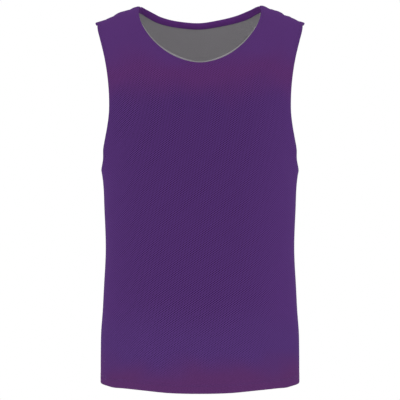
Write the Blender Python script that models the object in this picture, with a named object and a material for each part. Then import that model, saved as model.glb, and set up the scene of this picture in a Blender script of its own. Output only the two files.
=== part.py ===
"""A reversible training bib, adult size M: a sleeveless vest of two layers of mesh knit.

The outer layer is purple and the reverse layer, inside it, is grey. The bib is filled out as when it is worn,
with nobody in it, and it is open at the neck, the armholes and the hem. Metres, +Z up, front towards -Y.
The origin lies between the shoulders, level with the middle of the shoulder seams.
"""

import math
from collections import namedtuple

import bmesh
import bpy
import numpy as np

# Driving dimensions
HEM = -0.7065  # height of the hem at the side seams
HEM_DIP = {"front": 0.0070, "back": 0.0040}  # how far the hem's middle hangs below its sides
UNDERARM = -0.2985  # height where the armhole meets the side seam
SEAM_START = 0.1155  # centre line to the inner end of the shoulder seam
TIP_HALF_WIDTH = 0.2003  # centre line to its outer end
NECK_HALF_WIDTH = 0.1180  # half of the neckline where it is widest, just in front of the shoulder seams
NECK_WIDEST = 0.0085  # height of that place
NECK_DEPTH = 0.1085  # from there down to the middle of the front neckline
NECK_POWER = 1.80  # 2 is an ellipse; less is a little shallower beside the middle
SHOULDER_TURN = 0.200  # the height over which upright cloth turns to lie on the shoulder
TURN_POWER = 2.6  # 2 turns it on an ellipse; more lays it flatter on the top
LAYER = 0.0010  # thickness of one layer of mesh knit
GAP = 0.0003  # between neighbouring pieces
TAPE_WIDTH = 0.0135
TAPE_EDGE = 0.0009  # thickness of the neck tape at its long edges
TAPE_CROWN = 0.0011  # what its rounded middle adds
TAPE_END = 0.0020  # how far behind the shoulder seams it ends
TAPE_REACH = 0.0030  # how far inside the panel its points start, before they are laid on the panel

# How finely the pieces are divided
COLUMNS = 26  # from side seam to side seam
ROWS = 27  # from hem to shoulder
ROW_CROWDING = 1.35  # above 1, rows are closer towards the shoulder
LINE_STEPS = 400  # steps of the fine lines that rows and outlines are spaced along
ABOVE_STEPS = 50  # the same for the neckline's last stretch, above its widest place
OUTLINE_STEPS = 24  # sides of a cut outline: one armhole, or half of the neckline
TAPE_STATIONS = 28
TAPE_STRIPS = 4
SHARP_FROM = math.radians(40)  # edges that turn more than this are shaded sharp
SLOPE_REACH = 1e-5  # half of the step that slopes are measured over
SETTLING_ROUNDS = 12  # enough to bring a point onto the form to well under a micrometre
RIDGE_ROUNDS = 30  # the same, for the top of a column on the shoulder line

# The worn form at each height: half of its width, and how far its front and its back stand off the side
# seams. Above the underarm the armholes are cut out of it, so it is wider there than the bib.
Section = namedtuple("Section", "height half_width front back")
SECTIONS = [
    Section(-0.730, 0.1908, 0.1420, 0.1290),
    Section(-0.645, 0.1908, 0.1415, 0.1275),
    Section(-0.612, 0.1902, 0.1405, 0.1265),
    Section(-0.568, 0.1870, 0.1385, 0.1235),
    Section(-0.525, 0.1848, 0.1355, 0.1180),
    Section(-0.452, 0.1813, 0.1315, 0.1120),
    Section(-0.375, 0.1838, 0.1325, 0.1120),
    Section(-0.318, 0.1868, 0.1350, 0.1165),
    Section(UNDERARM, 0.1896, 0.1355, 0.1185),
    Section(-0.250, 0.1970, 0.1345, 0.1225),
    Section(-0.190, 0.2040, 0.1270, 0.1265),
    Section(-0.125, 0.2120, 0.1135, 0.1240),
    Section(-0.060, 0.2220, 0.1005, 0.1160),
    Section(0.000, 0.2310, 0.0925, 0.1085),
    Section(0.070, 0.2390, 0.0870, 0.1020),
]

# The line that the shoulder seams follow, and its course over the open neck between them.
Ridge = namedtuple("Ridge", "across height")
RIDGE = [
    Ridge(0.0000, 0.0390),
    Ridge(0.0600, 0.0340),
    Ridge(SEAM_START, 0.0166),
    Ridge(0.1300, 0.0134),
    Ridge(0.1437, 0.0088),
    Ridge(0.1541, 0.0050),
    Ridge(0.1707, -0.0026),
    Ridge(0.1869, -0.0100),
    Ridge(TIP_HALF_WIDTH, -0.0148),
    Ridge(0.2300, -0.0270),
]

# The back neckline, from the middle to the shoulder seam.
Neckline = namedtuple("Neckline", "across height")
BACK_NECKLINE = [
    Neckline(0.0000, -0.0079),
    Neckline(0.0350, -0.0046),
    Neckline(0.0600, -0.0004),
    Neckline(0.0800, 0.0050),
    Neckline(0.0968, 0.0117),
    Neckline(0.1070, 0.0152),
    Neckline(SEAM_START, 0.0166),
]

# The armhole's edge: how far from the centre line it runs on the front and on the back.
Armhole = namedtuple("Armhole", "height front back")
ARMHOLE = [
    Armhole(UNDERARM, 0.1896, 0.1896),
    Armhole(-0.279, 0.1852, 0.1878),
    Armhole(-0.260, 0.1838, 0.1862),
    Armhole(-0.240, 0.1803, 0.1836),
    Armhole(-0.221, 0.1762, 0.1800),
    Armhole(-0.190, 0.1718, 0.1758),
    Armhole(-0.163, 0.1716, 0.1753),
    Armhole(-0.125, 0.1746, 0.1778),
    Armhole(-0.086, 0.1812, 0.1838),
    Armhole(-0.048, 0.1916, 0.1926),
    Armhole(-0.030, 0.1952, 0.1956),
    Armhole(-0.014, TIP_HALF_WIDTH, TIP_HALF_WIDTH),
    Armhole(0.030, TIP_HALF_WIDTH, TIP_HALF_WIDTH),
]

# Before the armholes are cut, the panels reach round to a right angle at the side seams, which run on up to
# SEAM_TOP, and to SHOULDER_ANGLE at the shoulder, a little outside the armhole's edge.
SEAM_ANGLE = math.radians(90)
SEAM_TOP = UNDERARM + 0.020
SHOULDER_ANGLE = math.radians(68)
CUT_SIDE = 0.30  # how far out, up, forwards and backwards the cut outlines reach

# Soft folds. across is the place on the panel, from -1 at one side edge to 1 at the other, and lean is what
# is added to it from the fold's bottom to its top. A negative depth is a trough and a positive one a ridge.
# A fold is full from FULL_FROM to FULL_TO of its height, and beyond FLAT_FROM the panel's edges stay flat.
FULL_FROM, FULL_TO, FLAT_FROM = 0.25, 0.35, 0.80
Fold = namedtuple("Fold", "across lean bottom top width depth")
FOLDS = {
    "front": [
        Fold(-0.62, 0.08, -0.76, -0.36, 0.16, -0.0032),
        Fold(-0.30, -0.10, -0.76, -0.42, 0.15, 0.0024),
        Fold(0.04, 0.05, -0.76, -0.30, 0.17, -0.0024),
        Fold(0.37, 0.06, -0.76, -0.46, 0.14, 0.0026),
        Fold(0.68, -0.07, -0.76, -0.38, 0.15, -0.0030),
        Fold(-0.80, 0.42, -0.36, -0.16, 0.15, -0.0024),
        Fold(0.82, -0.40, -0.35, -0.15, 0.14, -0.0022),
    ],
    "back": [
        Fold(-0.70, 0.16, -0.76, -0.30, 0.15, -0.0034),
        Fold(-0.40, 0.06, -0.76, -0.40, 0.15, 0.0030),
        Fold(-0.08, -0.04, -0.76, -0.22, 0.16, -0.0036),
        Fold(0.22, -0.05, -0.76, -0.38, 0.14, 0.0028),
        Fold(0.50, -0.06, -0.76, -0.28, 0.15, -0.0034),
        Fold(0.80, -0.12, -0.76, -0.44, 0.12, 0.0020),
        Fold(-0.72, 0.36, -0.34, -0.12, 0.14, -0.0026),
        Fold(0.74, -0.38, -0.33, -0.13, 0.15, -0.0028),
    ],
}

PURPLE = (0.065, 0.023, 0.126, 1.0)
GREY = (0.300, 0.288, 0.304, 1.0)
TAPE_PURPLE = (0.112, 0.024, 0.175, 1.0)


def smooth(across, along):
    """A smooth curve through points, as a function."""
    xs, ys = np.array(across, float), np.array(along, float)
    slopes = np.gradient(ys, xs)

    def curve(x):
        x = np.clip(x, xs[0], xs[-1])
        i = np.clip(np.searchsorted(xs, x) - 1, 0, len(xs) - 2)
        step = xs[i + 1] - xs[i]
        t = (x - xs[i]) / step
        start = ys[i] * (1 + 2 * t) + slopes[i] * step * t
        end = ys[i + 1] * (3 - 2 * t) + slopes[i + 1] * step * (t - 1)
        return start * (1 - t) ** 2 + end * t**2

    return curve


def column(table, name):
    """One column of a table as a smooth function of the height."""
    return smooth([row.height for row in table], [getattr(row, name) for row in table])


half_width = column(SECTIONS, "half_width")
depth = {side: column(SECTIONS, side) for side in ("front", "back")}
armhole = {side: column(ARMHOLE, side) for side in ("front", "back")}
ridge, back_neckline = (
    smooth(*zip(*[(-row.across, row.height) for row in table[:0:-1]], *table)) for table in (RIDGE, BACK_NECKLINE)
)


def step_up(low, high, x):
    """0 below low, 1 above high, and a soft step between them."""
    t = np.clip((x - low) / (high - low), 0, 1)
    return t * t * (3 - 2 * t)


def turned(x, z):
    """The square of the share of its full depth that the form has where the shoulder line is this far above."""
    rise = np.maximum(1 - (ridge(x) - z) / SHOULDER_TURN, 0)
    return 1 - rise**TURN_POWER


def outside(points):
    """Above 0 outside the form and below 0 inside it."""
    x, y, z = np.moveaxis(points, -1, 0)
    deep = np.where(y < 0, depth["front"](z), depth["back"](z))
    return (y / deep) ** 2 - (1 - (x / half_width(z)) ** 2) * turned(x, z)


def slope_of(points):
    """The gradient of outside, which stands square on the form."""
    steps = np.eye(3) * SLOPE_REACH
    return np.stack([(outside(points + s) - outside(points - s)) / (2 * SLOPE_REACH) for s in steps], axis=-1)


def normal_of(points):
    slope = slope_of(points)
    return slope / np.linalg.norm(slope, axis=-1, keepdims=True)


def settled(points):
    """The points moved onto the form."""
    for _ in range(SETTLING_ROUNDS):
        slope = slope_of(points)
        points = points - slope * (outside(points) / (slope**2).sum(axis=-1))[..., None]
    return points


def point_on(side, x, z):
    away = -1 if side == "front" else 1
    y = away * depth[side](z) * np.sqrt(np.maximum((1 - (x / half_width(z)) ** 2) * turned(x, z), 0))
    return np.stack([x, y, z], axis=-1)


def travelled(points):
    """The distance along a line of points up to each of them."""
    return np.concatenate([[0], np.cumsum(np.linalg.norm(np.diff(points, axis=0), axis=1))])


def across_form(share, z):
    """How far from the centre line the form is at this share of the way to its side edge."""
    side_angle = SEAM_ANGLE + (SHOULDER_ANGLE - SEAM_ANGLE) * step_up(SEAM_TOP, 0, z)
    return half_width(z) * np.sin(share * side_angle)


def form_column(side, share):
    """One line of points up the form, from the hem to the shoulder line."""
    top = 0.0
    for _ in range(RIDGE_ROUNDS):
        top = ridge(across_form(share, top))
    hem = HEM - HEM_DIP[side] * math.cos(share * math.pi / 2) ** 4
    z = top + (hem - top) * np.linspace(1, 0, LINE_STEPS + 1) ** 2
    line = point_on(side, across_form(share, z), z)
    length = travelled(line)
    wanted = length[-1] * (1 - (1 - np.linspace(0, 1, ROWS + 1)) ** ROW_CROWDING)
    return np.stack([np.interp(wanted, length, line[:, axis]) for axis in range(3)], axis=-1)


def folded(side, across, z):
    """How far the folds move the cloth out. They fade out towards the panel's side edges."""
    moved = np.zeros_like(z)
    for fold in FOLDS[side]:
        height = (z - fold.bottom) / (fold.top - fold.bottom)
        middle = fold.across + fold.lean * np.clip(height, 0, 1)
        bell = np.exp(-(((across - middle) / fold.width) ** 2))
        moved += fold.depth * bell * step_up(0, FULL_FROM, height) * (1 - step_up(FULL_TO, 1, height))
    return moved * (1 - step_up(FLAT_FROM, 1, np.abs(across)))


def form_grid(side):
    """Half of the form, seam to seam: its points and the directions square to it, row by row from the hem."""
    shares = np.linspace(-1, 1, COLUMNS + 1)
    points = settled(np.stack([form_column(side, share) for share in shares], axis=1))
    normals = normal_of(points)
    points = points + normals * folded(side, shares, points[..., 2])[..., None]
    on_seam = np.zeros(points.shape[:2], bool)
    on_seam[-1] = True
    on_seam[:, [0, -1]] = points[:, [0, -1], 2] <= SEAM_TOP
    points[on_seam, 1] = (-1 if side == "front" else 1) * GAP / 2
    normals[on_seam, 1] = 0
    return points, normals


def wall(name, outer, inner, material, collection):
    """A closed wall between two grids of points, in triangles that lie alike on both."""
    rows, columns = outer.shape[:2]
    bm = bmesh.new()
    sheets = [[[bm.verts.new(point) for point in row] for row in grid] for grid in (outer, inner)]
    for sheet in sheets:
        for low, high in zip(sheet, sheet[1:]):
            for a, b, c, d in zip(low, low[1:], high[1:], high):
                bm.faces.new((a, b, c))
                bm.faces.new((a, c, d))
    rim = [(0, j) for j in range(columns)]
    rim += [(i, columns - 1) for i in range(1, rows)]
    rim += [(rows - 1, j) for j in range(columns - 2, -1, -1)]
    rim += [(i, 0) for i in range(rows - 2, 0, -1)]
    for (i, j), (k, m) in zip(rim, rim[1:] + rim[:1]):
        bm.faces.new((sheets[0][i][j], sheets[0][k][m], sheets[1][k][m], sheets[1][i][j]))
    bmesh.ops.recalc_face_normals(bm, faces=bm.faces)
    mesh = bpy.data.meshes.new(name)
    bm.to_mesh(mesh)
    bm.free()
    mesh.shade_smooth()
    mesh.set_sharp_from_angle(angle=SHARP_FROM)
    mesh.materials.append(material)
    piece = bpy.data.objects.new(name, mesh)
    collection.objects.link(piece)
    return piece


def neckline(side, steps):
    """The neckline from its middle to the shoulder seam, evenly spaced, as (x, z)."""
    if side == "front":
        turn = np.linspace(0, math.pi / 2, LINE_STEPS)
        above = np.linspace(0, 1, ABOVE_STEPS)[1:]
        x = NECK_HALF_WIDTH * np.sin(turn) ** (2 / NECK_POWER)
        z = NECK_WIDEST - NECK_DEPTH * np.cos(turn) ** (2 / NECK_POWER)
        x = np.concatenate([x, NECK_HALF_WIDTH + (SEAM_START - NECK_HALF_WIDTH) * above**2])
        z = np.concatenate([z, NECK_WIDEST + (ridge(SEAM_START) - NECK_WIDEST) * above])
    else:
        x = SEAM_START * np.sin(np.linspace(0, math.pi / 2, LINE_STEPS))
        z = back_neckline(x)
    length = travelled(point_on(side, x, z))
    wanted = np.linspace(0, length[-1], steps + 1)
    return np.stack([np.interp(wanted, length, x), np.interp(wanted, length, z)], axis=-1)


def cutter(name, outlines, collection):
    """Prisms that run through the bib from front to back, one for each outline of (x, z) corners."""
    bm = bmesh.new()
    for outline in outlines:
        face = bm.faces.new([bm.verts.new((x, -CUT_SIDE, z)) for x, z in outline])
        swept = bmesh.ops.extrude_face_region(bm, geom=[face], use_keep_orig=True)
        moved = [part for part in swept["geom"] if isinstance(part, bmesh.types.BMVert)]
        bmesh.ops.translate(bm, verts=moved, vec=(0, 2 * CUT_SIDE, 0))
    bmesh.ops.recalc_face_normals(bm, faces=bm.faces)
    mesh = bpy.data.meshes.new(name)
    bm.to_mesh(mesh)
    bm.free()
    tool = bpy.data.objects.new(name, mesh)
    tool.hide_render = True
    tool.display_type = "WIRE"
    collection.objects.link(tool)
    return tool


def neck_cutter(side, collection):
    half = neckline(side, OUTLINE_STEPS)
    outline = [(-x, z) for x, z in half[:0:-1]] + [(x, z) for x, z in half]
    outline += [(SEAM_START, CUT_SIDE), (-SEAM_START, CUT_SIDE)]
    return cutter(f"neck_{side}", [outline], collection)


def armhole_cutter(side, collection):
    heights = np.linspace(UNDERARM, ARMHOLE[-1].height, OUTLINE_STEPS + 1)
    right = [(armhole[side](z), z) for z in heights]
    right += [(CUT_SIDE, ARMHOLE[-1].height), (CUT_SIDE, UNDERARM)]
    left = [(-x, z) for x, z in right]
    return cutter(f"armholes_{side}", [right, left], collection)


def cut(piece, tools):
    for tool in tools:
        modifier = piece.modifiers.new(tool.name, "BOOLEAN")
        modifier.operation = "DIFFERENCE"
        modifier.object = tool


def panels(side, outer_cloth, reverse_cloth, collection):
    """The outer layer and the reverse layer of one side of the bib, one inside the other, uncut."""
    points, normals = form_grid(side)
    reverse = points - normals * (LAYER + GAP)
    return (
        wall(f"{side}_outer", points, points - normals * LAYER, outer_cloth, collection),
        wall(f"{side}_reverse", reverse, reverse - normals * LAYER, reverse_cloth, collection),
    )


def neck_tape(panel, material, collection):
    """The strip that covers the back neck's seam: it lies inside the panel, its top level with the neckline."""
    half = neckline("back", TAPE_STATIONS // 2)
    x = np.concatenate([-half[:0:-1, 0], half[:, 0]])
    z = np.concatenate([half[:0:-1, 1], half[:, 1]])
    edge = point_on("back", x, z)
    edge[[0, -1], 1] = TAPE_END
    edge = settled(edge)
    down = np.cross(np.gradient(edge, axis=0), normal_of(edge))
    down *= -np.sign(down[len(down) // 2, 2]) / np.linalg.norm(down, axis=1, keepdims=True)
    share = np.linspace(0, 1, TAPE_STRIPS + 1)[:, None, None]
    on_form = settled(edge + down * share * TAPE_WIDTH)
    on_form[..., 1] = np.maximum(on_form[..., 1], TAPE_END)
    normals = normal_of(on_form)
    in_hollow = on_form - normals * (2 * LAYER + GAP + TAPE_REACH)
    beside = np.array([[panel.closest_point_on_mesh(point)[1] for point in row] for row in in_hollow])
    near = beside - normals * GAP
    far = near - normals * (TAPE_EDGE + TAPE_CROWN * np.sin(share * math.pi))
    return wall("back_neck_tape", near, far, material, collection)


def cloth(name, colour, roughness):
    material = bpy.data.materials.new(name)
    material.use_nodes = True
    shader = material.node_tree.nodes["Principled BSDF"]
    shader.inputs["Base Color"].default_value = colour
    shader.inputs["Roughness"].default_value = roughness
    shader.inputs["Metallic"].default_value = 0
    return material


for old in list(bpy.data.objects):
    bpy.data.objects.remove(old)
bib = bpy.data.collections.new("reversible_training_bib")
cutters = bpy.data.collections.new("cutters")
for group in (bib, cutters):
    bpy.context.scene.collection.children.link(group)
shoulder_rest = bpy.data.objects.new("shoulder_rest", None)
bib.objects.link(shoulder_rest)

purple_mesh = cloth("purple_mesh", PURPLE, 0.75)
grey_mesh = cloth("grey_mesh", GREY, 0.80)
purple_tape = cloth("purple_tape", TAPE_PURPLE, 0.65)
pieces = {side: panels(side, purple_mesh, grey_mesh, bib) for side in ("front", "back")}
tape = neck_tape(pieces["back"][1], purple_tape, bib)
tape.parent = shoulder_rest
for side, layers in pieces.items():
    tools = [neck_cutter(side, cutters), armhole_cutter(side, cutters)]
    for layer in layers:
        cut(layer, tools)
        layer.parent = shoulder_rest
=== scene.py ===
"""The looks of the reversible training bib: two layers of eyelet mesh knit, purple outside and grey inside.

Metres, +Z up, front towards -Y. The origin lies between the shoulders, level with the middle of their seams.
"""

import math

import bpy
import numpy as np
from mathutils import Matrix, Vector
from mathutils.kdtree import KDTree


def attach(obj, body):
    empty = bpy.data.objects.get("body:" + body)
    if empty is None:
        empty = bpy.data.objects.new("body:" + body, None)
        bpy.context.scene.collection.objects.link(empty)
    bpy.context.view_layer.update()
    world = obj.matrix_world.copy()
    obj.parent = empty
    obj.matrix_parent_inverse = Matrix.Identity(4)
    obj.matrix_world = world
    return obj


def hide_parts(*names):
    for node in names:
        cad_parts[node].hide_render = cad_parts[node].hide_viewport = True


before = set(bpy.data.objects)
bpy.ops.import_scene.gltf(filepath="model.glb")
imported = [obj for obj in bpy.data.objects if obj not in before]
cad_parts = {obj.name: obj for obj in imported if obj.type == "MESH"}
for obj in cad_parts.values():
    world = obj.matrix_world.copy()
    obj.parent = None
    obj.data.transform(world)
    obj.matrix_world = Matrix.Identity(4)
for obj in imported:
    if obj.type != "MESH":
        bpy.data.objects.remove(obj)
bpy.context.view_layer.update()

# ---------------------------------------------------------------- camera
# The photograph looks at the bib square on, level, from the height of its waist and through a long lens.
CAMERA_DISTANCE = 3.2
CAMERA_HEIGHT = -0.356
CAMERA_SENSOR = 36  # millimetres
CAMERA_LENS = 149.5  # millimetres

camera = bpy.data.objects.new("camera", bpy.data.cameras.new("camera"))
camera.data.sensor_width = CAMERA_SENSOR
camera.data.lens = CAMERA_LENS
camera.location = (0, -CAMERA_DISTANCE, CAMERA_HEIGHT)
camera.rotation_euler = (math.radians(90), 0, 0)
bpy.context.scene.collection.objects.link(camera)
bpy.context.scene.camera = camera

# ---------------------------------------------------------------- studio
# White surroundings, a pale round floor well below the hem, and large soft lights: one over the shoulders,
# one beyond each side, and one low in front of the hem.
FLOOR_HEIGHT = -1.10
FLOOR_RADIUS = 2.6
FLOOR_SIDES = 128

world = bpy.data.worlds.new("white_studio")
world.use_nodes = True
world.node_tree.nodes["Background"].inputs["Color"].default_value = (1, 1, 1, 1)
world.node_tree.nodes["Background"].inputs["Strength"].default_value = 1.0
bpy.context.scene.world = world
bpy.context.scene.view_settings.view_transform = "Standard"
bpy.context.scene.view_settings.look = "None"


def new_material(name):
    """A material, its nodes and its shader."""
    material = bpy.data.materials.new(name)
    material.use_nodes = True
    nodes = material.node_tree.nodes
    return material, nodes, nodes["Principled BSDF"]


floor_mesh = bpy.data.meshes.new("floor")
turns = np.linspace(0, 2 * math.pi, FLOOR_SIDES + 1)[:-1]
rim_points = [(FLOOR_RADIUS * math.cos(t), FLOOR_RADIUS * math.sin(t), FLOOR_HEIGHT) for t in turns]
floor_mesh.from_pydata(rim_points, [], [range(len(rim_points))])
floor = bpy.data.objects.new("floor", floor_mesh)
bpy.context.scene.collection.objects.link(floor)
pale, _, pale_shader = new_material("pale_floor")
pale_shader.inputs["Base Color"].default_value = (0.86, 0.86, 0.85, 1)
pale_shader.inputs["Roughness"].default_value = 0.9
floor_mesh.materials.append(pale)


def soft_light(name, place, aim, width, height, watts):
    """A rectangular lamp that the camera doesn't see."""
    lamp = bpy.data.lights.new(name, "AREA")
    lamp.shape, lamp.size, lamp.size_y, lamp.energy = "RECTANGLE", width, height, watts
    light = bpy.data.objects.new(name, lamp)
    light.location = place
    light.rotation_euler = (Vector(aim) - Vector(place)).to_track_quat("-Z", "Y").to_euler()
    light.visible_camera = False
    bpy.context.scene.collection.objects.link(light)


soft_light("over_shoulders", (0, -0.5, 1.6), (0, 0, -0.2), 2.0, 1.4, 9)
soft_light("left_side", (-2.2, -0.4, -0.3), (0, 0, -0.35), 1.2, 1.8, 9)
soft_light("right_side", (2.2, -0.4, -0.3), (0, 0, -0.35), 1.2, 1.8, 9)
soft_light("below_hem", (0, -0.9, -1.08), (0, -0.1, -0.68), 1.4, 0.5, 4.5)

# ---------------------------------------------------------------- front, outer layer
# The panel that faces forwards on the purple side: one piece of eyelet mesh knit, cut with the centre on the
# fold. It is sewn to the back at the shoulders and the sides, bagged out against the grey panel at the neck
# and the armholes, where it is turned and topstitched, and turned up in a twin-needle hem.
HEM = -0.7065  # at the side seams
HEM_SHARE = {"front": 1.0, "back": 0.6}  # of the hang that HEM_LINE gives
UNDERARM = -0.2985
SEAM_START = 0.1155  # where the shoulder seams leave the neckline
TIP_HALF_WIDTH = 0.2003
NECK_HALF_WIDTH = 0.1180
NECK_WIDEST = 0.0085  # the height where the front neckline is widest
NECK_DEPTH = 0.1085  # of the front neckline, from there down
NECK_POWER = 1.80  # of its curve: 2 is an ellipse, and less is more pointed
SHOULDER_TURN = 0.200  # how far below the shoulder line the form starts to close
TURN_POWER = 2.6  # how suddenly it closes

# height, half width, depth of the front, depth of the back
WORN_FORM = [
    (-0.730, 0.1908, 0.1420, 0.1290),
    (-0.645, 0.1908, 0.1415, 0.1275),
    (-0.612, 0.1902, 0.1405, 0.1265),
    (-0.568, 0.1870, 0.1385, 0.1235),
    (-0.525, 0.1848, 0.1355, 0.1180),
    (-0.452, 0.1813, 0.1315, 0.1120),
    (-0.375, 0.1838, 0.1325, 0.1120),
    (-0.318, 0.1868, 0.1350, 0.1165),
    (UNDERARM, 0.1896, 0.1355, 0.1185),
    (-0.250, 0.1970, 0.1345, 0.1225),
    (-0.190, 0.2040, 0.1270, 0.1265),
    (-0.125, 0.2120, 0.1135, 0.1240),
    (-0.060, 0.2220, 0.1005, 0.1160),
    (0.000, 0.2310, 0.0925, 0.1085),
    (0.070, 0.2390, 0.0870, 0.1020),
]
# across, height
SHOULDER_LINE = [
    (0.0000, 0.0390),
    (0.0600, 0.0340),
    (SEAM_START, 0.0166),
    (0.1300, 0.0134),
    (0.1437, 0.0088),
    (0.1541, 0.0050),
    (0.1707, -0.0026),
    (0.1869, -0.0100),
    (TIP_HALF_WIDTH, -0.0148),
    (0.2300, -0.0270),
]
# how far round from the middle, as a share, and how far the hem hangs there below its ends
HEM_LINE = [
    (0.00, 0.0062),
    (0.20, 0.0053),
    (0.35, 0.0027),
    (0.45, 0.0018),
    (0.56, 0.0017),
    (0.66, 0.0024),
    (0.74, 0.0013),
    (0.82, 0.0006),
    (0.92, 0.0002),
    (1.00, 0.0000),
]
# across, height
BACK_NECKLINE = [
    (0.0000, -0.0079),
    (0.0350, -0.0046),
    (0.0600, -0.0004),
    (0.0800, 0.0050),
    (0.0968, 0.0117),
    (0.1070, 0.0152),
    (SEAM_START, 0.0166),
]
# height, across on the front, across on the back
ARMHOLE = [
    (UNDERARM, 0.1896, 0.1896),
    (-0.279, 0.1852, 0.1878),
    (-0.260, 0.1844, 0.1864),
    (-0.240, 0.1803, 0.1836),
    (-0.221, 0.1762, 0.1800),
    (-0.190, 0.1718, 0.1758),
    (-0.163, 0.1716, 0.1753),
    (-0.125, 0.1746, 0.1778),
    (-0.086, 0.1812, 0.1838),
    (-0.048, 0.1909, 0.1920),
    (-0.030, 0.1957, 0.1958),
    (-0.0225, 0.1967, 0.1967),
    (-0.0198, 0.1968, 0.1968),
    (-0.0184, 0.1997, 0.1997),
    (-0.014, TIP_HALF_WIDTH, TIP_HALF_WIDTH),
    (0.030, TIP_HALF_WIDTH, TIP_HALF_WIDTH),
]


def smooth(across, along):
    """A smooth curve through points, as a function."""
    xs, ys = np.array(across, float), np.array(along, float)
    slopes = np.gradient(ys, xs)

    def curve(x):
        x = np.clip(x, xs[0], xs[-1])
        i = np.clip(np.searchsorted(xs, x) - 1, 0, len(xs) - 2)
        step = xs[i + 1] - xs[i]
        t = (x - xs[i]) / step
        start = ys[i] * (1 + 2 * t) + slopes[i] * step * t
        end = ys[i + 1] * (3 - 2 * t) + slopes[i + 1] * step * (t - 1)
        return start * (1 - t) ** 2 + end * t**2

    return curve


def mirrored(table):
    """The smooth curve through one half's points and their mirror images."""
    return smooth(*zip(*[(-x, z) for x, z in table[:0:-1]], *table))


heights, widths, fronts, backs = zip(*WORN_FORM)
half_width = smooth(heights, widths)
depth = {"front": smooth(heights, fronts), "back": smooth(heights, backs)}
heights, fronts, backs = zip(*ARMHOLE)
armhole = {"front": smooth(heights, fronts), "back": smooth(heights, backs)}
ridge = mirrored(SHOULDER_LINE)
back_neckline = mirrored(BACK_NECKLINE)
hem_line = mirrored(HEM_LINE)


def step_up(low, high, x):
    """0 below low, 1 above high, and a soft step between them."""
    t = np.clip((x - low) / (high - low), 0, 1)
    return t * t * (3 - 2 * t)


def bell(x, width):
    """1 where x is 0, and less to both sides, over this width."""
    return np.exp(-((x / width) ** 2))


def fullness(x, z):
    """The square of the form's depth at x and z, as a share of the square of its table's depth at z."""
    rise = np.maximum(1 - (ridge(x) - z) / SHOULDER_TURN, 0)
    return (1 - (x / half_width(z)) ** 2) * (1 - rise**TURN_POWER)


def outside(points):
    """Above 0 outside the worn form and below 0 inside it."""
    x, y, z = np.moveaxis(points, -1, 0)
    deep = np.where(y < 0, depth["front"](z), depth["back"](z))
    return (y / deep) ** 2 - fullness(x, z)


def slope_of(points):
    small = 1e-5
    steps = np.eye(3) * small
    return np.stack([(outside(points + s) - outside(points - s)) / (2 * small) for s in steps], axis=-1)


def normal_of(points):
    slope = slope_of(points)
    return slope / np.linalg.norm(slope, axis=-1, keepdims=True)


def settled(points, rounds=6):
    """The points moved onto the worn form."""
    for _ in range(rounds):
        slope = slope_of(points)
        points = points - slope * (outside(points) / (slope**2).sum(axis=-1))[..., None]
    return points


def point_on(side, x, z):
    """The points of the worn form's front or back at these places across and these heights."""
    away = -1 if side == "front" else 1
    return np.stack([x, away * depth[side](z) * np.sqrt(np.maximum(fullness(x, z), 0)), z], axis=-1)


def travelled(points):
    """The distance along lines of points, up to each point, along the first axis."""
    steps = np.linalg.norm(np.diff(points, axis=0), axis=-1)
    return np.concatenate([np.zeros_like(steps[:1]), np.cumsum(steps, axis=0)])


def neckline(side, shares):
    """Points (x, z) of the neckline at these shares of the way from its middle to the shoulder seam."""
    turn = np.linspace(0, math.pi / 2, 600)
    if side == "front":
        above = np.linspace(0, 1, 60)[1:]
        x = NECK_HALF_WIDTH * np.sin(turn) ** (2 / NECK_POWER)
        z = NECK_WIDEST - NECK_DEPTH * np.cos(turn) ** (2 / NECK_POWER)
        x = np.concatenate([x, NECK_HALF_WIDTH + (SEAM_START - NECK_HALF_WIDTH) * above**2])
        z = np.concatenate([z, NECK_WIDEST + (ridge(SEAM_START) - NECK_WIDEST) * above])
    else:
        x = SEAM_START * np.sin(turn)
        z = back_neckline(x)
    length = travelled(point_on(side, x, z))
    return np.interp(shares * length[-1], length, x), np.interp(shares * length[-1], length, z)


# A panel is a net of lines that run up from the hem. Those in the middle end on the neckline, and the others
# on the shoulder seams. Close to every edge the net is finer, to carry its roll and its stitched bands: there
# its lines lie these distances from the edge, in millimetres.
EDGE_LINES = [0, 0.3, 0.7, 1.2, 1.8, 2.5, 3.3, 4.1, 4.8, 5.3, 5.8, 6.4, 7.1, 8.0, 9.4, 11.5]
HEM_LINES = [0, 0.3, 0.7, 1.2, 2.0, 4.0, 7.0, 10.5, 12.3]
HEM_LINES += [13.0, 13.6, 14.3, 15.1, 15.8, 16.4, 17.2, 18.2, 19.6, 22.0]
EVEN_ROWS = 128
EVEN_COLUMNS = 96
LEFT_OUT = 4  # even columns at each side, where the finer ones lie
NECK_SHARE = 0.64  # how far from the middle a line still ends on the neckline, with 1 at the sides
PANEL_HALF = 0.25  # about half the panel's width, along the cloth
ROUGH_ROWS = 700  # points on each line before they are spaced out
SIDE_POINTS = 4000
LINE_POINTS = 1500


def drop_to(q, turn):
    """The height where the form, at this turn from the middle, lies q squared below the shoulder line."""
    z = -(q**2)
    for _ in range(20):
        z = ridge(half_width(z) * np.sin(turn)) - q**2
    return z


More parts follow.
